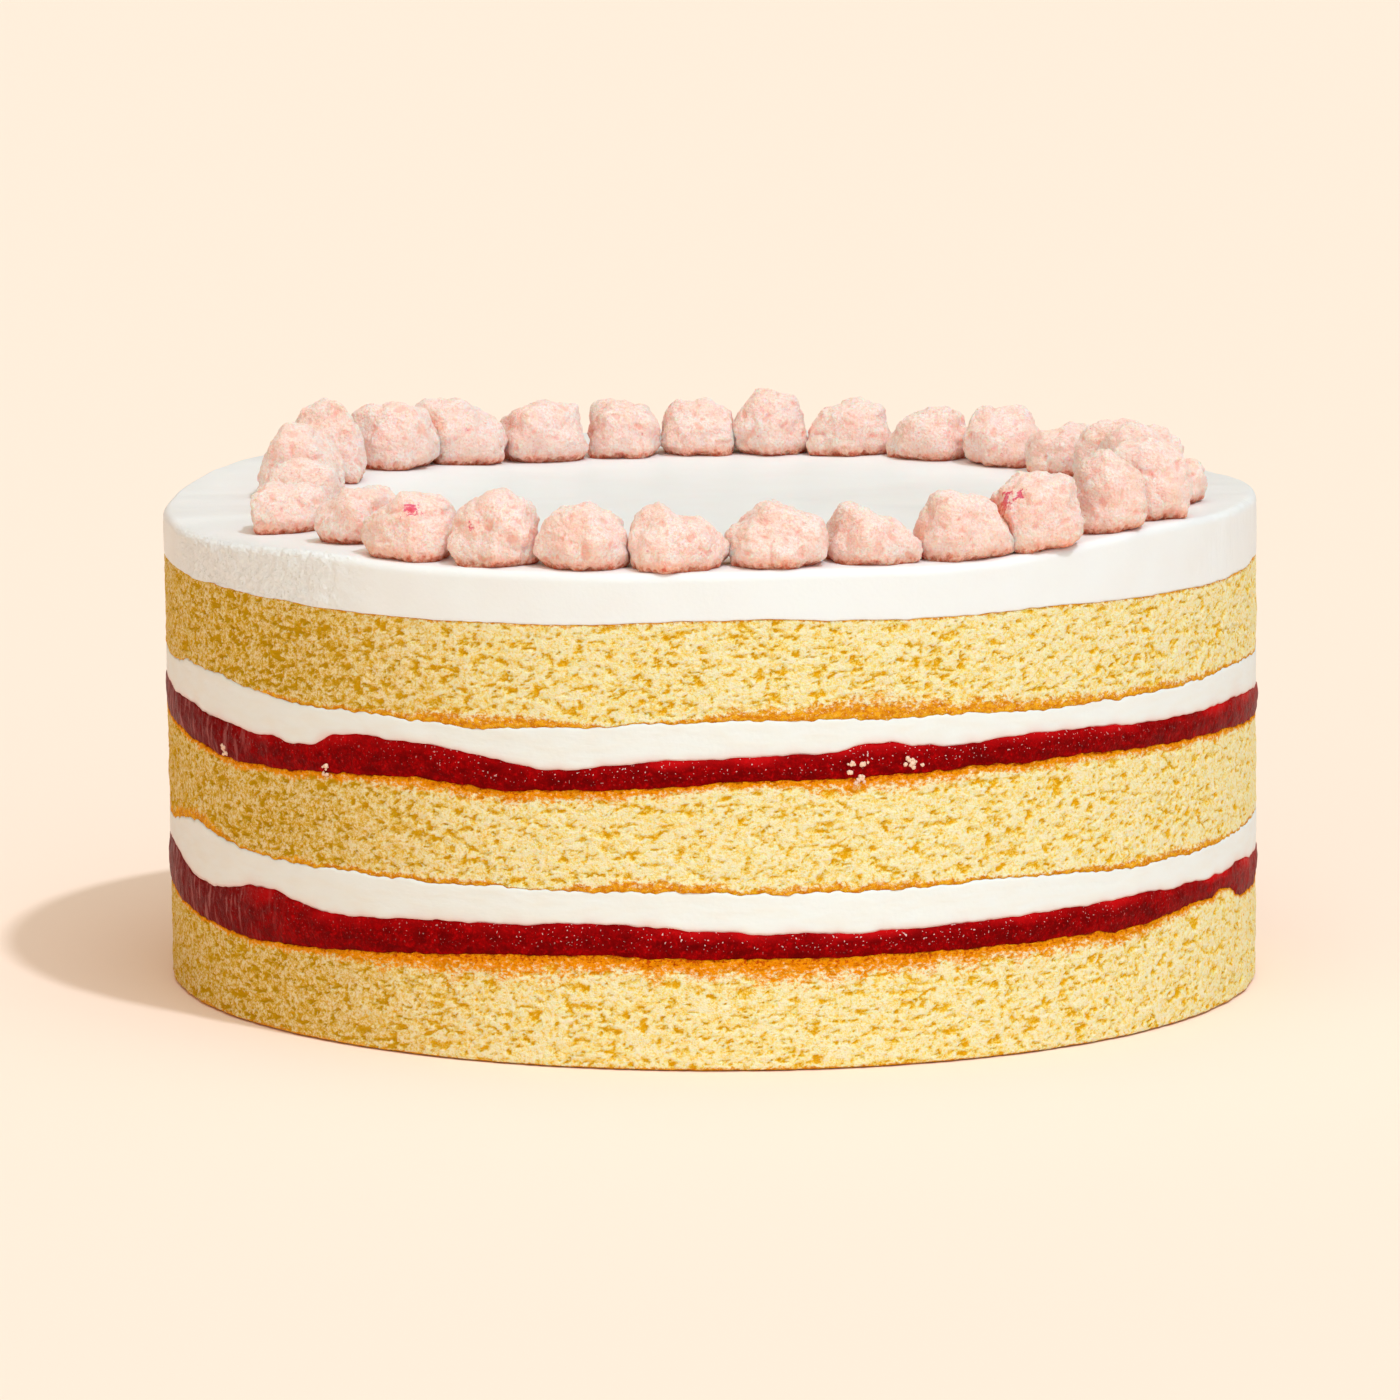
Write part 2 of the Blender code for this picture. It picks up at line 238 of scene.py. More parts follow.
def rim_point(segment):
    """The point of the rim, on the ground, that belongs to a segment."""
    turn = math.radians(360.0 * segment / SEGMENTS)
    return Vector((math.sin(turn) * CAKE_RADIUS, -math.cos(turn) * CAKE_RADIUS, 0.0))


def shared_edge(lower, upper, waves, lobes=()):
    """The line in which two layers meet at the side: middle height, and rim height by segment.

    It runs midway between the two solids, with finer waves of (size, rise) of its own and
    single lobes of (azimuth, half width, rise)."""
    middle_below, below = rim_soundings(lower, True)
    middle_above, above = rim_soundings(upper, False)
    line = []
    for segment in range(SEGMENTS):
        azimuth = 360.0 * segment / SEGMENTS
        height = (smooth_round(below, azimuth) + smooth_round(above, azimuth)) / 2
        for size, rise in waves:
            here = rim_point(segment) / size
            here.z = EDGES_APART * middle_below / MM
            height += rise * noise.noise(here)
        for place, half_width, rise in lobes:
            height += rise * within(azimuth, (place, half_width))
        line.append(height)
    return (middle_below + middle_above) / 2, line


def segment_of(x, y):
    """The segment of the rim that is nearest to a place."""
    return round(azimuth_of(x, y) / 360.0 * SEGMENTS) % SEGMENTS


def turned_blank(profile):
    """A closed body of (radius, share of height) points, from axis to axis: a grid rolled round."""
    blank = bmesh.new()
    rows = len(profile) - 1
    bmesh.ops.create_grid(blank, x_segments=SEGMENTS, y_segments=rows, size=0.5)
    for corner in blank.verts:
        turn = math.tau * round((corner.co.x + 0.5) * SEGMENTS) / SEGMENTS
        radius, share = profile[round((corner.co.y + 0.5) * rows)]
        corner.co = (math.sin(turn) * radius, -math.cos(turn) * radius, share)
    bmesh.ops.remove_doubles(blank, verts=blank.verts, dist=SAME_POINT)
    bmesh.ops.recalc_face_normals(blank, faces=blank.faces)
    return blank


def layer_profile(rows, foot_inset, top_inset):
    """Foot, side rows and top of a layer, as (radius, share of height) points."""
    shares = [row / rows for row in range(rows + 1)]
    side = [(SIDE_RADIUS, share) for share in shares]
    side[0] = (SIDE_RADIUS - foot_inset, 0.0)
    side[1] = (SIDE_RADIUS - foot_inset * SECOND_ROW_INSET, shares[1])
    side[-1] = (SIDE_RADIUS - top_inset, 1.0)
    inner = SIDE_RADIUS * INNER_RING
    return [(0.0, 0.0), (inner, 0.0), *side, (inner, 1.0), (0.0, 1.0)]


def stack_height(foot, top, x, y, share):
    """Height of a point of a layer, a share of the way from its foot line to its top line."""
    out = min(1.0, math.hypot(x, y) / SIDE_RADIUS)
    segment = segment_of(x, y)
    low = foot[0] + (foot[1][segment] - foot[0]) * out
    high = top[0] + (top[1][segment] - top[0]) * out
    return low + (high - low) * share, low, high


def ease(low, high, value):
    """0 below low, 1 above high, and smooth between."""
    t = min(1.0, max(0.0, (value - low) / (high - low)))
    return t * t * (3.0 - 2.0 * t)


def flattened(point, size):
    """A place in a pattern that is wider than it is high."""
    return Vector((point.x / size, point.y / size, point.z * FLATTENED / size))


def crumb_pores(point):
    """How much of a pore there is at a point of the crumb, 0 to 1."""
    point = point + PORE_WANDER * noise.noise_vector(point / PORE_WANDER_SIZE)
    start = PORE_START - CROWDING * noise.noise(point / CROWDED_SIZE)
    pore = noise.fractal(flattened(point, PORE_SIZE), *PORE_FRACTAL)
    crack = Vector((point.x, point.y, point.z * CRACK_FLATTENED)) / CRACK_SIZE
    crack = ease(*CRACK_SPAN, noise.fractal(crack, *PORE_FRACTAL))
    return min(1.0, ease(start, start + PORE_SPAN, pore) + CRACK_SHARE * crack)


def placed(x, y, height, stand=0.0):
    """A point of a layer stood out from the side, its layer having crept a little."""
    grown = 1.0 + stand / SIDE_RADIUS
    creep = CREEP * max(0.0, 1.0 - height / CREEP_HEIGHT)
    return Vector((x * grown + creep, y * grown, height))


def side_corners(blank, foot, top):
    """Sets each corner of a layer between its two edge lines, and gives those of its side.

    With each come its place on the ground before the layer crept, its share of the layer's
    height, its own height, and the heights of the two edges there."""
    for corner in blank.verts:
        x, y, share = corner.co
        height, low, high = stack_height(foot, top, x, y, share)
        corner.co = placed(x, y, height)
        if math.hypot(x, y) >= SIDE_RADIUS * SIDE_BEGINS:
            yield corner, x, y, share, height, low, high


def finish_piece(name, blank, material, replaced):
    """Makes a mesh the finished piece that stands for solids of the cake."""
    mesh = bpy.data.meshes.new(name)
    blank.to_mesh(mesh)
    blank.free()
    mesh.materials.append(material)
    mesh.shade_smooth()
    piece = bpy.data.objects.new(name, mesh)
    bpy.context.scene.collection.objects.link(piece)
    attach(piece, "root")
    if replaced:
        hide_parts(*replaced)
    return piece


def add_node(material, kind, values, **settings):
    """A node of a material, with its sockets set, or linked from other nodes' outputs."""
    made = material.node_tree.nodes.new(kind)
    for setting, value in settings.items():
        setattr(made, setting, value)
    for socket, value in values.items():
        if isinstance(value, bpy.types.NodeSocket):
            material.node_tree.links.new(value, made.inputs[socket])
        else:
            made.inputs[socket].default_value = value
    return made


def new_material(name):
    """A material, and the shader that its surface is set on."""
    material = bpy.data.materials.new(name)
    material.use_nodes = True
    return material, material.node_tree.nodes["Principled BSDF"]


def place_on(material):
    """Where a point is on the cake, for patterns that are fixed to it."""
    return add_node(material, "ShaderNodeTexCoord", {}).outputs["Object"]


def grain(material, size, detail=2.0, roughness=0.5, flat=1.0, lean=0.0):
    """Noise whose features are about size metres wide, flattened and leant over."""
    turned = {"Vector": place_on(material), "Rotation": (lean, 0.0, 0.0), "Scale": (1.0, 1.0, flat)}
    turned = add_node(material, "ShaderNodeMapping", turned).outputs["Vector"]
    values = {"Vector": turned, "Scale": 1.0 / size, "Detail": detail, "Roughness": roughness}
    return add_node(material, "ShaderNodeTexNoise", values).outputs["Fac"]


def spanned(material, value, low, high, to_low=0.0, to_high=1.0):
    """A value carried from one span to another, and held at its ends."""
    values = {"Value": value, "From Min": low, "From Max": high, "To Min": to_low, "To Max": to_high}
    return add_node(material, "ShaderNodeMapRange", values).outputs["Result"]


def combined(material, how, first, second):
    """One value worked out from two."""
    return add_node(material, "ShaderNodeMath", {0: first, 1: second}, operation=how).outputs[0]


def scaled(material, value, factor):
    return combined(material, "MULTIPLY", value, factor)


def tinted(material, amount, under, over):
    """One colour laid over another by an amount."""
    under = under if isinstance(under, bpy.types.NodeSocket) else (*under, 1.0)
    over = over if isinstance(over, bpy.types.NodeSocket) else (*over, 1.0)
    made = add_node(material, "ShaderNodeMix", {0: amount, 6: under, 7: over}, data_type="RGBA")
    return made.outputs[2]


def painted(material, attribute):
    """A value that the mesh carries at its corners."""
    return add_node(material, "ShaderNodeAttribute", {}, attribute_name=attribute).outputs["Fac"]


def join(material, socket, shader, name):
    material.node_tree.links.new(socket, shader.inputs[name])


def bumped(material, shader, height, distance):
    """A relief too fine for the mesh."""
    bump = add_node(material, "ShaderNodeBump", {"Height": height, "Distance": distance, "Strength": 1.0})
    join(material, bump.outputs["Normal"], shader, "Normal")


def lit_within(shader, weight, radius, reach):
    """Light that goes in at a surface and comes out tinted, within reach metres."""
    shader.inputs["Subsurface Weight"].default_value = weight
    shader.inputs["Subsurface Radius"].default_value = radius
    shader.inputs["Subsurface Scale"].default_value = reach


def crumb_material():
    """Baked crumb: pale proud crumbs, gold pores, a brown skin and an orange soaked band.

    Its pores, and its side away from the light, are darkened as painted shade.
    """
    material, shader = new_material("baked_crumb")
    ragged = grain(material, 1.0 * MM, detail=3.0, roughness=0.7, flat=1.35)
    specks = grain(material, 0.42 * MM, detail=2.0, roughness=0.6)
    clods = grain(material, 3.2 * MM, detail=3.0, roughness=0.6, flat=1.5)
    painted_shade = painted(material, "painted_shade")
    # The depth deepens the colour into the pores, partly as painted shade, and shapes the relief. On the
    # side away from the light it is deeper still, as painted shade.
    depth = scaled(material, painted(material, "pore"), 0.68)
    for deeper in (
        spanned(material, ragged, 0.40, 0.70, -0.14, 0.50),
        spanned(material, specks, 0.32, 0.72, -0.18, 0.26),
        spanned(material, clods, 0.35, 0.65, -0.12, 0.14),
        scaled(material, painted_shade, 0.12),
    ):
        depth = combined(material, "ADD", depth, deeper)
    crumb = CRUMB_PALE
    for low, high, colour in CRUMB_COLOURS:
        crumb = tinted(material, spanned(material, depth, low, high), crumb, colour)
    # Painted shade: on the side away from the light the crumb darkens towards a deep gold, most in the
    # pores.
    darkened = spanned(material, depth, 0.0, 0.56, 0.28, 1.0)
    darkened = combined(material, "MULTIPLY", painted_shade, darkened)
    crumb = tinted(material, darkened, crumb, CRUMB_PAINTED_SHADE)

    fray = spanned(material, ragged, 0.30, 0.70, -0.40, 0.40)
    mottle = grain(material, 1.5 * MM, detail=3.0, roughness=0.65, flat=1.5)
    skin = tinted(material, spanned(material, mottle, 0.40, 0.60), CRUST_BROWN, CRUST_GOLD)
    browned = combined(material, "ADD", painted(material, "crust"), fray)
    crumb = tinted(material, spanned(material, browned, 0.34, 0.74), crumb, skin)
    flecks = spanned(material, specks, 0.64, 0.68)
    flecks = combined(material, "MULTIPLY", flecks, spanned(material, browned, 0.80, 1.05))
    crumb = tinted(material, scaled(material, flecks, 0.7), crumb, CREAM_FLECK)
    wet = combined(material, "ADD", painted(material, "soaked"), fray)
    soaked = tinted(material, spanned(material, wet, 0.86, 1.15), SOAKED_ORANGE, SOAKED_RED)
    crumb = tinted(material, spanned(material, wet, 0.26, 0.66), crumb, soaked)

    join(material, crumb, shader, "Base Color")
    join(material, spanned(material, mottle, 0.3, 0.7, 0.80, 0.95), shader, "Roughness")
    shader.inputs["Specular IOR Level"].default_value = 0.05
    lit_within(shader, 0.35, (1.0, 0.50, 0.12), 1.2 * MM)
    relief = combined(material, "SUBTRACT", 1.0, depth)
    bumped(material, shader, relief, 0.30 * MM)
    return material


def sponge(node, foot, top, material, foot_inset):
    """One sponge between its two edge lines."""
    blank = turned_blank(layer_profile(SPONGE_ROWS, foot_inset, EDGE_ROUNDING))
    pore = blank.verts.layers.float.new("pore")
    painted_shade = blank.verts.layers.float.new("painted_shade")
    crust = blank.verts.layers.float.new("crust")
    soaked = blank.verts.layers.float.new("soaked")
    crusts = {}
    for corner, x, y, _, height, low, high in side_corners(blank, foot, top):
        here = Vector((x, y, height))
        azimuth = azimuth_of(x, y)
        uneven = 1.0 + UNEVEN * noise.noise(here / UNEVEN_SIZE)
        if azimuth not in crusts:
            crusts[azimuth] = [
                round_the_side(points[node], azimuth) * MM if node in points else 0.0
                for points in (BROWNED, SKIN, SOAKED)
            ]
        browned, skin, wet = crusts[azimuth]
        corner[crust] = ease(0.0, 1.0, 1.0 - CRUST_FADE * (height - low) / (browned * uneven))
        if skin > 0.0:
            under_skin = SKIN_SHARE - CRUST_FADE * (high - height) / (skin * uneven)
            corner[crust] = max(corner[crust], under_skin)
        if wet > 0.0:
            corner[soaked] = max(0.0, 1.0 - CRUST_FADE * (high - height) / (wet * uneven))
        # Painted shade: how far the corner lies on the side away from the light.
        corner[painted_shade] = within(azimuth, SHADED_SIDE)
        corner[pore] = crumb_pores(here) * (1.0 - CRUST_CLOSES * corner[crust])
        stand = CRUMB_SWELL * noise.noise(here / CRUMB_SWELL_SIZE)
        stand += CRUMB_RISE * noise.noise(flattened(here, CRUMB_SIZE))
        stand -= PORE_DEPTH * corner[pore]
        corner.co = placed(x, y, height, stand)
    return finish_piece(f"{node}_crumb", blank, material, [node])


# The lines in which the layers meet: waves of (size, rise), and lobes of (azimuth, half width,
# rise) where the jam runs over or draws back.
RAGGED = ((9.0 * MM, 0.45 * MM), (3.4 * MM, 0.40 * MM), (1.5 * MM, 0.40 * MM))
SOFT_LOBES = ((11.0 * MM, 0.40 * MM), (4.6 * MM, 0.35 * MM), (2.0 * MM, 0.22 * MM))
WASHED = ((9.0 * MM, 0.45 * MM), (3.0 * MM, 0.30 * MM), (1.5 * MM, 0.25 * MM))
KNIFE_LINE = ((9.0 * MM, 0.30 * MM), (2.6 * MM, 0.16 * MM))
JAM_1_FOOT_LOBES = ((66.5, 3.6, 1.7 * MM), (47.0, 5.0, -0.7 * MM))
JAM_1_TOP_LOBES = ((72.0, 5.0, 1.0 * MM), (-61.0, 6.0, -0.8 * MM), (-45.0, 6.0, -0.5 * MM))
JAM_2_TOP_LOBES = (
    (-84.0, 15.0, -2.2 * MM),
    (-46.0, 5.0, -1.1 * MM),
    (-39.0, 5.5, 1.0 * MM),
    (16.3, 4.0, 1.2 * MM),
    (25.0, 3.5, -0.6 * MM),
)

ground = (0.0, [0.0] * SEGMENTS)
jam_1_foot = shared_edge("cake_layer_1", "jam_layer_1", WASHED, JAM_1_FOOT_LOBES)
jam_1_top = shared_edge("jam_layer_1", "cream_layer_1", SOFT_LOBES, JAM_1_TOP_LOBES)
cream_1_top = shared_edge("cream_layer_1", "cake_layer_2", RAGGED)
jam_2_foot = shared_edge("cake_layer_2", "jam_layer_2", WASHED)
jam_2_top = shared_edge("jam_layer_2", "cream_layer_2", SOFT_LOBES, JAM_2_TOP_LOBES)
cream_2_top = shared_edge("cream_layer_2", "cake_layer_3", RAGGED)
frosting_foot = shared_edge("cake_layer_3", "frosting_top", KNIFE_LINE)

noise.seed_set(PORE_SEED)
baked_crumb = crumb_material()
sponge("cake_layer_1", ground, jam_1_foot, baked_crumb, FOOT_ROUNDING)
sponge("cake_layer_2", cream_1_top, jam_2_foot, baked_crumb, EDGE_ROUNDING)
sponge("cake_layer_3", cream_2_top, frosting_foot, baked_crumb, EDGE_ROUNDING)


# ---------------------------------------------------------------------------------------
# The jam. Cooked strawberry, spooned on a sponge and pressed out to the side by the weight
# above it, so its upper line runs in lobes and its side bulges. It is wet and full of fine
# pulp, with painted glints, and thin enough at its upper lobes for light to come through.

JAM_ROWS = 26
JAM_BULGE = 0.35 * MM
JAM_SWELL_SIZE = 7.0 * MM
JAM_SWELL = 0.35 * MM
PULP_SIZE = 1.7 * MM
PULP_RISE = 0.16 * MM

# The jam is thin, and lighter, at the top of lobes of this size, which come in between two
# levels of their pattern. The shares are all round, and what a lobe adds. A swell of the side
# moves the height that it starts from. On the side away from the light most of that lightness
# is taken out again, as painted shade.
THIN_LOBE_SIZE = 16.0 * MM
THIN_LOBE_SPAN = (-0.1, 0.35)
THIN_LOBE_LEVEL = 0.4
THIN_SHARE = (0.20, 0.6)
LOBES_SHADED = 0.75
THIN_HEIGHT = (0.55, 1.0)
THIN_UNEVEN = 0.12

# Glints: painted highlights, whitish dots on the wet seeds and pulp under a glossy coat,
# thickest in the upper part of the jam at the front right. Their shares are all round, and
# what that side adds. At the far left, away from the light, the jam is painted darker as
# painted shade and streaked slantwise in grey-pink as painted sheen.
GLINT_SIZE = 0.48 * MM
GLINT_SIDE = (8.0, 46.0)
GLINT_SHARE = (0.15, 0.85)
GLINT_HEIGHT = (0.15, 0.65)
JAM_SHADE_SIDE = (-76.0, 30.0)

JAM_DEEP = (0.140, 0.0001, 0.0006)
JAM_RED = (0.370, 0.0004, 0.0014)
JAM_THIN = (0.640, 0.005, 0.007)
# Painted sheen: the grey-pink of the streaks on the side away from the light.
JAM_STREAK = (0.420, 0.120, 0.115)
# Painted highlight: the whitish colour of the glints.
PAINTED_GLINT_WHITE = (0.900, 0.620, 0.600)


def jam_material():
    """Deep red jam with clumps and pulp in it, and painted glints under a glossy coat.

    On the side away from the light it is darkened as painted shade and streaked with painted sheen.
    """
    material, shader = new_material("strawberry_jam")
    clumps = grain(material, 4.0 * MM, detail=4.0, roughness=0.65, flat=1.6)
    pulp = grain(material, 0.8 * MM, detail=3.0, roughness=0.65)
    colour = tinted(material, spanned(material, clumps, 0.36, 0.62), JAM_DEEP, JAM_RED)
    colour = tinted(material, spanned(material, pulp, 0.40, 0.60, 0.65, 0.0), colour, JAM_DEEP)
    colour = tinted(material, spanned(material, pulp, 0.58, 0.74, 0.0, 0.6), colour, JAM_THIN)
    colour = tinted(material, painted(material, "thin"), colour, JAM_THIN)
    # Painted shade and painted sheen: on the side away from the light the jam is darkened and streaked
    # grey-pink.
    jam_shade = painted(material, "jam_shade")
    colour = tinted(material, scaled(material, jam_shade, 0.75), colour, JAM_DEEP)
    streaks = grain(material, 1.3 * MM, detail=3.0, flat=0.22, lean=0.5)
    streaks = spanned(material, streaks, 0.53, 0.66, 0.0, 0.75)
    streaks = combined(material, "MULTIPLY", streaks, jam_shade)
    colour = tinted(material, streaks, colour, JAM_STREAK)
    # Painted highlights: whitish dots in the colour, with a glossy coat on the same dots.
    glints = spanned(material, grain(material, GLINT_SIZE, detail=0.0), 0.745, 0.78)
    glints = combined(material, "MULTIPLY", glints, painted(material, "glinting"))
    colour = tinted(material, scaled(material, glints, 0.9), colour, PAINTED_GLINT_WHITE)
    join(material, colour, shader, "Base Color")
    join(material, spanned(material, clumps, 0.3, 0.7, 0.30, 0.45), shader, "Roughness")
    join(material, glints, shader, "Coat Weight")
    shader.inputs["Coat Roughness"].default_value = 0.15
    shader.inputs["Specular IOR Level"].default_value = 0.02
    relief = combined(material, "ADD", pulp, scaled(material, glints, 0.5))
    bumped(material, shader, relief, 0.30 * MM)
    return material


def jam(node, foot, top, material):
    """One layer of jam between its two edge lines."""
    blank = turned_blank(layer_profile(JAM_ROWS, EDGE_ROUNDING, EDGE_ROUNDING))
    thin = blank.verts.layers.float.new("thin")
    glinting = blank.verts.layers.float.new("glinting")
    jam_shade = blank.verts.layers.float.new("jam_shade")
    for corner, x, y, share, height, _, _ in side_corners(blank, foot, top):
        here = Vector((x, y, height))
        swell = noise.noise(here / JAM_SWELL_SIZE)
        stand = JAM_BULGE * math.sin(math.pi * share) + JAM_SWELL * swell
        stand += PULP_RISE * noise.noise(here / PULP_SIZE)
        lobe = noise.noise(Vector((x, y, THIN_LOBE_LEVEL)) / THIN_LOBE_SIZE)
        thinned = THIN_SHARE[0] + THIN_SHARE[1] * ease(*THIN_LOBE_SPAN, lobe)
        azimuth = azimuth_of(x, y)
        # How far the corner lies on the side away from the light, where shade and sheen are painted.
        corner[jam_shade] = within(azimuth, JAM_SHADE_SIDE)
        thinned *= 1.0 - LOBES_SHADED * corner[jam_shade]
        corner[thin] = thinned * ease(*THIN_HEIGHT, share + THIN_UNEVEN * swell)
        glints = GLINT_SHARE[0] + GLINT_SHARE[1] * within(azimuth, GLINT_SIDE)
        corner[glinting] = glints * ease(*GLINT_HEIGHT, share)
        corner.co = placed(x, y, height, stand)
    return finish_piece(f"{node}_fruit", blank, material, [node])


strawberry_jam = jam_material()
jam("jam_layer_1", jam_1_foot, jam_1_top, strawberry_jam)
jam("jam_layer_2", jam_2_foot, jam_2_top, strawberry_jam)


# ---------------------------------------------------------------------------------------
# The cream between the layers. Whipped cream, piped on the jam and wiped flush with the
# side by a spatula, which leaves faint level smears. A little jam has bled into its lower
# edge. The sponge above sits in it.

CREAM_ROWS = 16
CREAM_SWELL_SIZE = 8.0 * MM
CREAM_SWELL = 0.22 * MM
SMEAR_SIZE = 6.0 * MM
SMEAR_FLATTENED = 5.0
SMEAR_RISE = 0.05 * MM

# How far the cream, and the frosting too, stands out from the trimmed side.
PROUD = 0.1 * MM

# How far up the cream the jam has bled, at least and on average, and how strongly.
LEAST_BLEED = 0.15 * MM
BLEED = 0.6 * MM
BLEED_SIZE = 5.0 * MM
BLEED_SHARE = 0.55

CREAM_WHITE = (0.850, 0.868, 0.850)
CREAM_SHADE = (0.850, 0.838, 0.790)
BLEED_PINK = (0.800, 0.330, 0.280)


def cream_material():
    """White cream with level smears, and the jam's pink at its lower edge."""
    material, shader = new_material("whipped_cream")
    smears = grain(material, 8.0 * MM, detail=3.0, roughness=0.5, flat=3.5)
    flecks = grain(material, 1.1 * MM, detail=2.0)
    colour = tinted(material, spanned(material, smears, 0.4, 0.75), CREAM_WHITE, CREAM_SHADE)
    colour = tinted(material, painted(material, "bled"), colour, BLEED_PINK)
    join(material, colour, shader, "Base Color")
    join(material, spanned(material, smears, 0.3, 0.7, 0.42, 0.58), shader, "Roughness")
    shader.inputs["Specular IOR Level"].default_value = 0.3
    lit_within(shader, 0.15, (1.0, 0.8, 0.6), 1.5 * MM)
    relief = combined(material, "ADD", smears, scaled(material, flecks, 0.35))
    bumped(material, shader, relief, 0.18 * MM)
    return material


def cream(node, foot, top, material):
    """One layer of cream between its two edge lines."""
    blank = turned_blank(layer_profile(CREAM_ROWS, EDGE_ROUNDING, EDGE_ROUNDING))
    bled = blank.verts.layers.float.new("bled")
    for corner, x, y, _, height, low, _ in side_corners(blank, foot, top):
        here = Vector((x, y, height))
        stand = CREAM_SWELL * noise.noise(here / CREAM_SWELL_SIZE)
        smear = Vector((x, y, height * SMEAR_FLATTENED)) / SMEAR_SIZE
        stand += SMEAR_RISE * noise.noise(smear)
        spread = BLEED * (1.0 + noise.noise(here / BLEED_SIZE))
        corner[bled] = BLEED_SHARE * math.exp(-(height - low) / max(spread, LEAST_BLEED))
        corner.co = placed(x, y, height, stand + PROUD)
    return finish_piece(f"{node}_whipped", blank, material, [node])


whipped_cream = cream_material()
cream("cream_layer_1", jam_1_top, cream_1_top, whipped_cream)
cream("cream_layer_2", jam_2_top, cream_2_top, whipped_cream)


# ---------------------------------------------------------------------------------------
# The frosting. A thick disc of firm white frosting, spread level on the top sponge with a
# long spatula and drawn upright round its side, so it has a soft rim, small torn pits at
# the left of its side and fine upright marks at the right.

FROSTING_SIDE_ROWS = 34
FROSTING_RIM_STEPS = 7
FROSTING_RIM_ROUNDING = 1.9 * MM
FROSTING_RINGS = 22

# The top rises to its rim by a power of the radius, and is sounded inside the solid's rim.
FROSTING_DISH = 1.5
FROSTING_NEAR_RIM = 0.86

# The spatula's strokes on top, and on the side its swells, the torn pits and the drawn marks,
# whose pattern is squeezed to this share in height and so runs upright.
SPREAD_SIZE = 17.0 * MM
SPREAD_SQUEEZE = 2.2
SPREAD_RISE = 0.16 * MM
SIDE_SWELL_SIZE = 10.0 * MM
SIDE_SWELL = 0.25 * MM
TORN_SIZE = 2.0 * MM
TORN_RISE = 0.36 * MM
TORN_FRACTAL = (0.9, 2.1, 2)
UPRIGHT = 0.12
DRAWN_SIZE = 1.5 * MM
DRAWN_RISE = 0.10 * MM
TORN_SIDE = (-56.0, 24.0)
DRAWN_SIDE = (74.0, 22.0)

FROSTING_WHITE = (0.872, 0.888, 0.892)
FROSTING_SHADE = (0.870, 0.868, 0.865)


def frosting_material():
    """White frosting, with torn pits on one side of it and upright marks on the other."""
    material, shader = new_material("white_frosting")
    smears = grain(material, 14.0 * MM, detail=4.0, roughness=0.5)
    colour = tinted(material, spanned(material, smears, 0.35, 0.7), FROSTING_WHITE, FROSTING_SHADE)
    torn = painted(material, "torn")
    pits = spanned(material, grain(material, 0.9 * MM, detail=2.0), 0.60, 0.74)
    pits = combined(material, "MULTIPLY", pits, torn)
    # Painted shade: the torn pits are darkened.
    colour = tinted(material, scaled(material, pits, 0.8), colour, CREAM_SHADE)
    marks = grain(material, 1.6 * MM, detail=2.0, flat=UPRIGHT)
    marks = combined(material, "MULTIPLY", marks, painted(material, "drawn"))
    flecks = grain(material, 0.9 * MM, detail=3.0)
    rough = combined(material, "ADD", scaled(material, torn, 1.8), 0.2)
    relief = combined(material, "MULTIPLY", flecks, rough)
    relief = combined(material, "SUBTRACT", relief, pits)
    relief = combined(material, "ADD", relief, marks)
    join(material, colour, shader, "Base Color")
    join(material, spanned(material, smears, 0.3, 0.7, 0.40, 0.55), shader, "Roughness")
    shader.inputs["Specular IOR Level"].default_value = 0.3
    lit_within(shader, 0.15, (1.0, 0.85, 0.65), 1.8 * MM)
    bumped(material, shader, relief, 0.3 * MM)
    return material


def frosting_profile():
    """Foot, upright side, rounded rim and rings of the top.

    A share of 1 is the top's height, and what lies over 1 is a fall below it, in metres."""
    side_top = SIDE_RADIUS - FROSTING_RIM_ROUNDING
    points = [(0.0, 0.0), (SIDE_RADIUS * INNER_RING, 0.0), (SIDE_RADIUS - EDGE_ROUNDING, 0.0)]
    points += [(SIDE_RADIUS, row / FROSTING_SIDE_ROWS) for row in range(1, FROSTING_SIDE_ROWS)]
    for step in range(FROSTING_RIM_STEPS + 1):
        turn = math.pi / 2 * step / FROSTING_RIM_STEPS
        fall = FROSTING_RIM_ROUNDING * (1.0 - math.sin(turn))
        points.append((side_top + FROSTING_RIM_ROUNDING * math.cos(turn), 1.0 + fall))
    for ring in range(1, FROSTING_RINGS + 1):
        points.append((side_top * (1.0 - ring / FROSTING_RINGS), 1.0))
    return points


frosting_middle, frosting_rim = rim_soundings(
    "frosting_top", True, power=FROSTING_DISH, near_rim=FROSTING_NEAR_RIM
)


def frosting_top(x, y):
    """Height of the spread top of the frosting."""
    out = min(1.0, math.hypot(x, y) / CAKE_RADIUS)
    rim = smooth_round(frosting_rim, azimuth_of(x, y))
    return frosting_middle + (rim - frosting_middle) * out**FROSTING_DISH


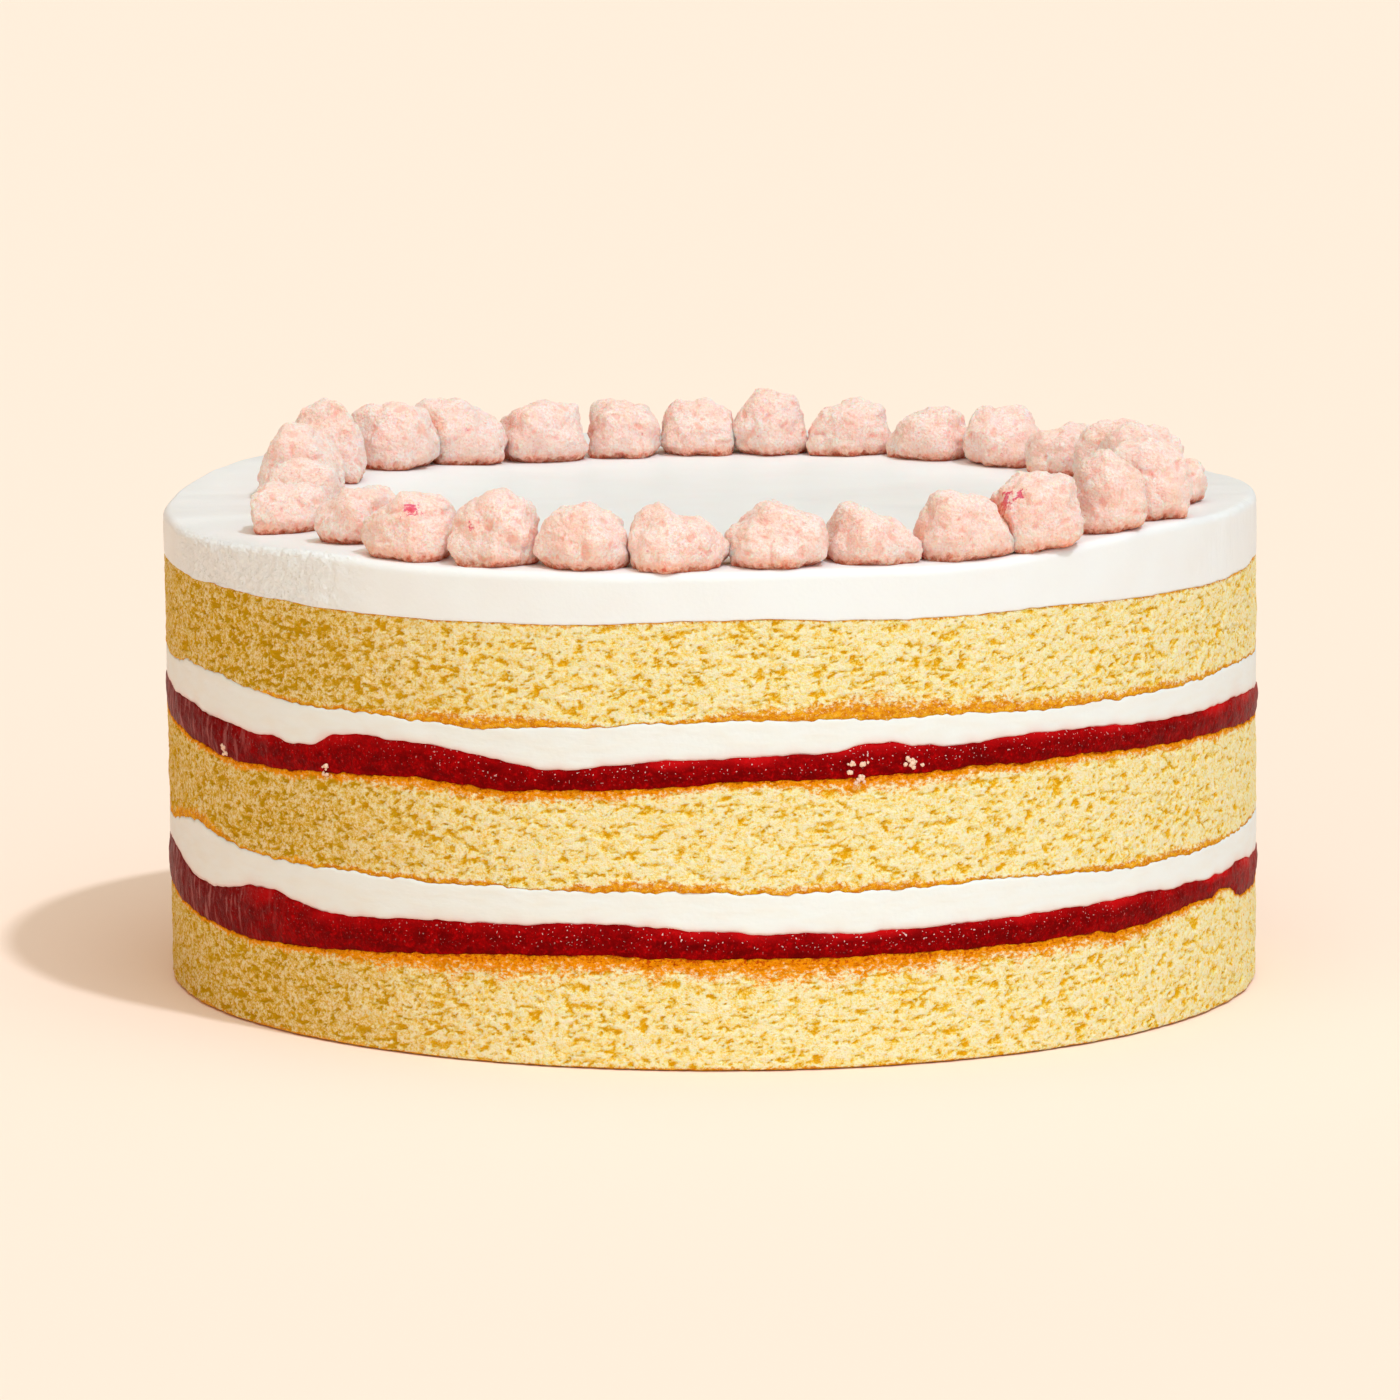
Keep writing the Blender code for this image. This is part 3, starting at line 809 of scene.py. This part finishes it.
def frosting():
    """The disc of frosting, from its foot line on the top sponge."""
    blank = turned_blank(frosting_profile())
    torn = blank.verts.layers.float.new("torn")
    drawn = blank.verts.layers.float.new("drawn")
    foot_middle, foot_line = frosting_foot
    for corner in blank.verts:
        x, y, share = corner.co
        radius = math.hypot(x, y)
        out = min(1.0, radius / SIDE_RADIUS)
        foot = foot_middle + (foot_line[segment_of(x, y)] - foot_middle) * out
        top = frosting_top(x, y)
        below_rim = top - FROSTING_RIM_ROUNDING
        if share < 1.0:
            height = foot + (below_rim - foot) * share
        else:
            height = top - (share - 1.0)
        here = Vector((x, y, height))
        spread = Vector((x, y * SPREAD_SQUEEZE, 0.0)) / SPREAD_SIZE
        if share >= 1.0:
            height += SPREAD_RISE * noise.noise(spread)
        corner.co = placed(x, y, height)
        if radius < SIDE_RADIUS * SIDE_BEGINS:
            continue
        azimuth = azimuth_of(x, y)
        corner[torn] = within(azimuth, TORN_SIDE)
        corner[drawn] = within(azimuth, DRAWN_SIDE)
        stand = SIDE_SWELL * noise.noise(here / SIDE_SWELL_SIZE)
        stand += TORN_RISE * corner[torn] * noise.fractal(here / TORN_SIZE, *TORN_FRACTAL)
        upright = Vector((x, y, height * UPRIGHT)) / DRAWN_SIZE
        stand += DRAWN_RISE * corner[drawn] * noise.noise(upright)
        corner.co = placed(x, y, height, stand + PROUD)
    return finish_piece("frosting_spread", blank, frosting_material(), ["frosting_top"])


frosting()


# ---------------------------------------------------------------------------------------
# The clusters. Strawberry cookie crumb rubbed together with butter into clumps, baked and
# broken to size: craggy lumps with a dusty, granular skin, flat where they broke and stained
# where dried berry got in. They are set in a ring by hand and pressed in a little.

CLUSTERS = [name for name in sorted(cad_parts) if name.startswith("cluster_")]
WELD = 0.01 * MM
DIVISIONS = 3
SMOOTHING = 0.3
PATTERNS_APART = 3.7
PRESSED_IN = 0.5 * MM
SWOLLEN = 0.75 * MM

# Below the first of these heights over the frosting a clump is seated and has a share of its
# roughness, and above the second it has all of it.
FREE_HEIGHT = (0.2 * MM, 1.6 * MM)
SEATED_SHARE = 0.25

# Flat breaks: how many, how far they face up (mean and spread), how far out they cut as shares
# of the clump's reach that way, and how much of what lies past them goes.
BREAKS = 9
BREAK_UPWARD = (0.2, 0.8)
BREAK_REACH = (0.76, 1.0)
BREAK_HARDNESS = 0.80

# Knobs, crags, pits and grain, from the widest to the finest.
KNOB_SIZE = 7.4 * MM
KNOB_RISE = 2.0 * MM
KNOB_LEVEL = 0.35
CRAG_SIZE = 3.6 * MM
CRAG_RISE = 0.70 * MM
CRAG_FRACTAL = (1.0, 2.1, 3)
PIT_SIZE = 2.2 * MM
PIT_DEPTH = 0.45 * MM
PIT_SPAN = (0.30, 0.55)
PIT_SHARE = 0.75
GRAIN_SIZE = 1.0 * MM
GRAIN_RISE = 0.22 * MM

# The foot draws in under the clump, unevenly.
UNDERCUT = 2.2 * MM
UNDERCUT_HEIGHT = 3.4 * MM
UNDERCUT_SIZE = 7.0 * MM
UNDERCUT_LEVEL = 0.45
UNDERCUT_UNEVEN = 0.9

# Dried berry that shows: the cluster, which way from its middle, and how far round it goes.
BERRY_SPOTS = (
    ("cluster_26", (0.05, -0.75, 0.66), 0.20),
    ("cluster_27", (-0.75, -0.55, 0.40), 0.12),
    ("cluster_05", (-0.70, -0.60, 0.42), 0.22),
    ("cluster_05", (-0.35, -0.75, 0.60), 0.10),
    ("cluster_01", (-0.30, -0.90, -0.45), 0.12),
)

CLUSTER_PINK = (1.000, 0.710, 0.630)
CLUSTER_PALE = (1.000, 0.790, 0.740)
CLUSTER_SALMON = (1.000, 0.540, 0.440)
# Painted shade: the orange above the foot and in the crevices.
CLUSTER_SHADE_ORANGE = (0.980, 0.330, 0.190)
CLUSTER_PEACH = (1.000, 0.590, 0.480)
BERRY_PINK = (0.720, 0.050, 0.140)
# Painted shade: the red-brown at the foot and deep in the crevices.
FOOT_SHADE_RED = (0.560, 0.100, 0.050)

# Painted shade, orange and red-brown, shows at the foot, up to this height, and in the
# crevices: how near a neighbour, in parts of the neighbour's half size.
FOOT_STAIN = (0.4 * MM, 4.6 * MM)
CREVICE = (0.92, 1.30)
CREVICE_SHARE = 0.85


def cluster_material():
    """Pink crumb with salmon specks and berry dust; painted shade at its foot, in crevices and pits."""
    material, shader = new_material("crumb_cluster")
    patches = grain(material, 4.5 * MM, detail=3.0, roughness=0.6)
    dust = grain(material, 0.6 * MM, detail=3.0, roughness=0.7)
    colour = tinted(material, spanned(material, patches, 0.38, 0.62), CLUSTER_PALE, CLUSTER_PINK)
    colour = tinted(material, spanned(material, dust, 0.46, 0.64, 0.0, 0.85), colour, CLUSTER_SALMON)
    stains = spanned(material, grain(material, 8.0 * MM, detail=2.0), 0.50, 0.68, 0.0, 0.4)
    colour = tinted(material, stains, colour, CLUSTER_PEACH)
    # Painted shade in the pits: salmon.
    colour = tinted(material, painted(material, "pit"), colour, CLUSTER_SALMON)
    berry = grain(material, 1.3 * MM, detail=2.0, roughness=0.6)
    specks = spanned(material, berry, 0.72, 0.78, 0.0, 0.5)
    colour = tinted(material, specks, colour, BERRY_PINK)
    frayed_spots = spanned(material, berry, 0.3, 0.7, -0.5, 0.5)
    spots = combined(material, "ADD", painted(material, "berry"), frayed_spots)
    colour = tinted(material, spanned(material, spots, 0.45, 0.75, 0.0, 0.85), colour, BERRY_PINK)
    # Painted shade: orange and red-brown at the foot and in the crevices between clumps.
    frayed_foot = spanned(material, berry, 0.3, 0.7, -0.2, 0.2)
    foot = combined(material, "ADD", painted(material, "foot"), frayed_foot)
    colour = tinted(material, spanned(material, foot, 0.15, 0.95, 0.0, 0.8), colour, CLUSTER_SHADE_ORANGE)
    colour = tinted(material, spanned(material, foot, 0.70, 1.05, 0.0, 0.95), colour, FOOT_SHADE_RED)
    join(material, colour, shader, "Base Color")
    join(material, spanned(material, dust, 0.3, 0.7, 0.85, 0.98), shader, "Roughness")
    shader.inputs["Specular IOR Level"].default_value = 0.1
    lit_within(shader, 0.8, (1.0, 0.14, 0.09), 6.5 * MM)
    crumbs = {"Vector": place_on(material), "Scale": 1.0 / (0.8 * MM), "Detail": 1.0, "Roughness": 0.6}
    crumbs = add_node(material, "ShaderNodeTexVoronoi", crumbs).outputs["Distance"]
    relief = combined(material, "SUBTRACT", scaled(material, dust, 0.8), crumbs)
    bumped(material, shader, relief, 0.27 * MM)
    return material


def cluster(node, material):
    """A clump from its solid: divided finely, broken flat in places, then knobbed and grained."""
    blank = bmesh.new()
    blank.from_mesh(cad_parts[node].data)
    bmesh.ops.remove_doubles(blank, verts=blank.verts, dist=WELD)
    every_way = {"use_axis_x": True, "use_axis_y": True, "use_axis_z": True}
    for _ in range(DIVISIONS):
        bmesh.ops.subdivide_edges(blank, edges=blank.edges, cuts=1, use_grid_fill=True)
        bmesh.ops.smooth_vert(blank, verts=blank.verts, factor=SMOOTHING, **every_way)
    pit = blank.verts.layers.float.new("pit")
    foot = blank.verts.layers.float.new("foot")
    berry = blank.verts.layers.float.new("berry")
    blank.normal_update()
    outward = [corner.normal.copy() for corner in blank.verts]
    middle = sum((corner.co for corner in blank.verts), Vector()) / len(blank.verts)
    draw = random.Random(node)
    breaks = []
    for _ in range(BREAKS):
        facing = Vector((draw.gauss(0, 1), draw.gauss(0, 1), abs(draw.gauss(*BREAK_UPWARD))))
        facing.normalize()
        reach = max((corner.co - middle).dot(facing) for corner in blank.verts)
        breaks.append((facing, reach * draw.uniform(*BREAK_REACH)))
    shift = Vector((float(node[-2:]) * PATTERNS_APART, 0.0, 0.0))
    spots = [(Vector(way).normalized(), width) for name, way, width in BERRY_SPOTS if name == node]
    neighbours = []
    for name in CLUSTERS:
        low, high = (Vector(corner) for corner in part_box(name))
        if name != node and ((low + high) / 2 - middle).length < (high - low).length:
            neighbours.append(((low + high) / 2, (high - low) / 2))
    for corner, normal in zip(blank.verts, outward):
        here = corner.co.copy()
        above = here.z - frosting_top(here.x, here.y)
        free = ease(*FREE_HEIGHT, above)
        for facing, reach in breaks:
            proud = (here - middle).dot(facing) - reach
            if proud > 0.0:
                here -= facing * proud * BREAK_HARDNESS * free
        way = (here - middle).normalized()
        stained = (1.0 - (way - spot).length / (2 * width) for spot, width in spots)
        corner[berry] = max(stained, default=0.0)
        knob = noise.voronoi(here / KNOB_SIZE + shift)[0][0]
        crag = noise.fractal(here / CRAG_SIZE + shift, *CRAG_FRACTAL)
        hollow = ease(*PIT_SPAN, noise.noise(here / PIT_SIZE - shift))
        stand = SWOLLEN + KNOB_RISE * (KNOB_LEVEL - knob) + CRAG_RISE * crag - PIT_DEPTH * hollow
        stand += GRAIN_RISE * noise.noise(here / GRAIN_SIZE)
        corner[pit] = PIT_SHARE * hollow * free
        away = (
            math.hypot(*((here[axis] - centre[axis]) / half[axis] for axis in range(3)))
            for centre, half in neighbours
        )
        # Where shade is painted: near the frosting, and close to a neighbour.
        crevice = 1.0 - ease(*CREVICE, min(away, default=math.inf))
        corner[foot] = max(1.0 - ease(*FOOT_STAIN, above), CREVICE_SHARE * crevice)
        here += normal * stand * (SEATED_SHARE + (1.0 - SEATED_SHARE) * free)
        uneven = noise.noise(here / UNDERCUT_SIZE - shift)
        drawn_in = 1.0 - ease(0.0, UNDERCUT_HEIGHT, above)
        drawn_in *= UNDERCUT * (UNDERCUT_LEVEL + UNDERCUT_UNEVEN * uneven)
        inward = Vector((middle.x - here.x, middle.y - here.y, 0.0)).normalized()
        here += inward * max(0.0, drawn_in)
        here.z -= PRESSED_IN
        corner.co = here
    return finish_piece(f"{node}_clump", blank, material, [node])


crumb_cluster = cluster_material()
for cluster_node in CLUSTERS:
    cluster(cluster_node, crumb_cluster)


# ---------------------------------------------------------------------------------------
# Stray crumbs. Bits of sponge that the knife and the spatula carried on to the jam and the
# rim. They stick in it where they fell.

# Where the crumbs fell: azimuth, height in mm, how many, and how widely spread in mm.
CRUMB_FALLS = (
    (13.7, 66.7, 6, 0.5),
    (14.9, 67.0, 6, 0.5),
    (13.6, 65.4, 5, 0.4),
    (14.6, 63.9, 9, 0.6),
    (19.9, 66.8, 14, 0.8),
    (21.0, 66.0, 4, 0.4),
    (-42.3, 61.6, 6, 0.5),
    (-42.4, 60.2, 5, 0.5),
    (-59.9, 61.6, 5, 0.5),
    (-59.6, 60.6, 4, 0.4),
)

# Each is a lumpy ball that stands out a little from the side, with its place drawn at random.
CRUMB_WIDTHS = (0.45 * MM, 1.1 * MM)
CRUMB_SEED = 7
UPWARD_SPREAD = 0.7
STUCK_ON = 0.35 * MM
LUMPS = 1.7
LUMP_RISE = 0.45

STRAY_PALE = (0.950, 0.720, 0.550)
STRAY_PINK = (0.850, 0.500, 0.360)


def stray_crumbs(material):
    """All the stray crumbs, as one piece."""
    draw = random.Random(CRUMB_SEED)
    blank = bmesh.new()
    for azimuth, height, count, spread in CRUMB_FALLS:
        for _ in range(count):
            turn = math.radians(azimuth) + draw.gauss(0.0, spread * MM / CAKE_RADIUS)
            level = height * MM + draw.gauss(0.0, spread * UPWARD_SPREAD * MM)
            reach = SIDE_RADIUS + STUCK_ON
            place = placed(math.sin(turn) * reach, -math.cos(turn) * reach, level)
            made = bmesh.ops.create_icosphere(blank, subdivisions=2, radius=1.0)["verts"]
            width = draw.uniform(*CRUMB_WIDTHS)
            for corner in made:
                lumpy = 1.0 + LUMP_RISE * noise.noise(corner.co * LUMPS + place / MM)
                corner.co = place + corner.co * lumpy * width / 2
    return finish_piece("stray_crumbs", blank, material, [])


def stray_material():
    material, shader = new_material("pale_crumb")
    speckle = grain(material, 0.5 * MM, detail=2.0)
    colour = tinted(material, spanned(material, speckle, 0.35, 0.65), STRAY_PALE, STRAY_PINK)
    join(material, colour, shader, "Base Color")
    shader.inputs["Roughness"].default_value = 0.8
    bumped(material, shader, speckle, 0.1 * MM)
    return material


stray_crumbs(stray_material())


# ---------------------------------------------------------------------------------------
# The table top, the light and the camera. A plain cream floor that runs to the horizon, a
# high light from the front right, and a soft fill that is strongest from the front and above.

FLOOR_HALF_WIDTH = 30.0
FLOOR_CREAM = (0.995, 0.826, 0.716)

floor_mesh = bmesh.new()
bmesh.ops.create_grid(floor_mesh, x_segments=2, y_segments=2, size=FLOOR_HALF_WIDTH)
floor_data = bpy.data.meshes.new("floor")
floor_mesh.to_mesh(floor_data)
floor_mesh.free()
floor = bpy.data.objects.new("floor", floor_data)
bpy.context.scene.collection.objects.link(floor)
floor_paint, floor_shader = new_material("cream_floor")
floor_shader.inputs["Base Color"].default_value = (*FLOOR_CREAM, 1.0)
floor_shader.inputs["Roughness"].default_value = 1.0
floor_shader.inputs["Specular IOR Level"].default_value = 0.0
floor_data.materials.append(floor_paint)

SUN_AZIMUTH = math.radians(45.0)
SUN_ELEVATION = math.radians(61.0)
SUN_STRENGTH = 1.29
SUN_COLOUR = (0.85, 0.92, 1.0)
SUN_WIDTH = math.radians(3.0)
sun_data = bpy.data.lights.new("key_light", "SUN")
sun_data.energy = SUN_STRENGTH
sun_data.color = SUN_COLOUR
sun_data.angle = SUN_WIDTH
sun = bpy.data.objects.new("key_light", sun_data)
sun.rotation_euler = (math.pi / 2 - SUN_ELEVATION, 0.0, SUN_AZIMUTH)
bpy.context.scene.collection.objects.link(sun)

# The fill: its colour all round, and what is added to it in a lobe towards the front, evenly
# towards the right, and in a lobe overhead.
FILL_LEVEL = (0.20, 0.08, -0.05)
FILL_FRONT = (1.11, 1.44, 1.58)
FILL_TO_RIGHT = (-0.05, 0.06, 0.17)
FILL_OVERHEAD = (1.25, 1.38, 1.44)
FRONT_LOBE = 2.0
OVERHEAD_LOBE = 4.0
world = bpy.data.worlds.new("soft_fill")
world.use_nodes = True
bpy.context.scene.world = world
direction = add_node(world, "ShaderNodeTexCoord", {}).outputs["Generated"]
towards = add_node(world, "ShaderNodeSeparateXYZ", {"Vector": direction}).outputs
front = combined(world, "MAXIMUM", scaled(world, towards["Y"], -1.0), 0.0)
overhead = combined(world, "MAXIMUM", towards["Z"], 0.0)
fill = FILL_LEVEL
for amount, colour in (
    (combined(world, "POWER", front, FRONT_LOBE), FILL_FRONT),
    (towards["X"], FILL_TO_RIGHT),
    (combined(world, "POWER", overhead, OVERHEAD_LOBE), FILL_OVERHEAD),
):
    added = add_node(world, "ShaderNodeVectorMath", {0: colour, "Scale": amount}, operation="SCALE")
    summed = add_node(world, "ShaderNodeVectorMath", {0: fill, 1: added.outputs[0]}, operation="ADD")
    fill = summed.outputs[0]
no_light = (0.0, 0.0, 0.0)
fill = add_node(world, "ShaderNodeVectorMath", {0: fill, 1: no_light}, operation="MAXIMUM").outputs[0]
join(world, fill, world.node_tree.nodes["Background"], "Color")

# The lens is that of a long portrait view, square in format.
SENSOR_WIDTH = 36.0
LENS = 178.33
CAMERA_PLACE = (-0.0023, -1.6, 0.3006)
CAMERA_TILT = math.radians(81.542)
camera_data = bpy.data.cameras.new("camera")
camera_data.sensor_width = SENSOR_WIDTH
camera_data.lens = LENS
camera_data.clip_start = 0.01
camera_data.clip_end = 200.0
camera = bpy.data.objects.new("camera", camera_data)
camera.location = CAMERA_PLACE
camera.rotation_euler = (CAMERA_TILT, 0.0, 0.0)
bpy.context.scene.collection.objects.link(camera)
bpy.context.scene.camera = camera
bpy.context.scene.view_settings.view_transform = "Standard"
